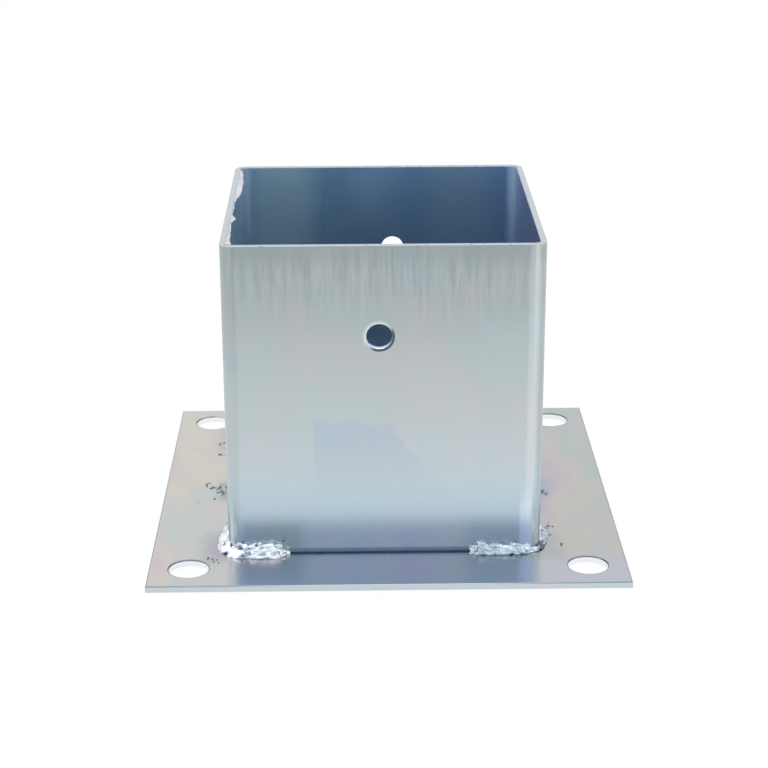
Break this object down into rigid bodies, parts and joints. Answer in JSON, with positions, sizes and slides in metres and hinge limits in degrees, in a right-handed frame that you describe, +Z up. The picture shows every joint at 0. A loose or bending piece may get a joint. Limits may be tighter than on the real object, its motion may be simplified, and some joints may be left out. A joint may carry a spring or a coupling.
{
  "type": "timber post base",
  "caption": "Bolt-down post base: an upright square steel sleeve, open at the top, welded by its foot corners to a square anchor plate with corner holes; screw holes in opposite walls.",
  "frame": {"origin": "centre of the anchor plate's underside, on the ground plane", "axes": "+Z up along the sleeve, -Y out of the front wall, +X to the right as seen from the front"},
  "size_m": [0.15, 0.15, 0.1031],
  "materials": {
    "plate_zinc": "zinc plated, blue passivated, mottled warm grey",
    "sleeve_zinc": "zinc plated, blue passivated, drawn vertical streaks near the rim",
    "weld_zinc": "zinc plated over a lumpy weld bead, bright and glittering"
  },
  "bodies": {
    "root": {"base_plate": "plate_zinc", "sleeve": "sleeve_zinc", "weld_front_left": "weld_zinc", "weld_front_right": "weld_zinc", "weld_rear_left": "weld_zinc", "weld_rear_right": "weld_zinc", "tack_left": "weld_zinc", "tack_right": "weld_zinc"}
  },
  "joints": []
}
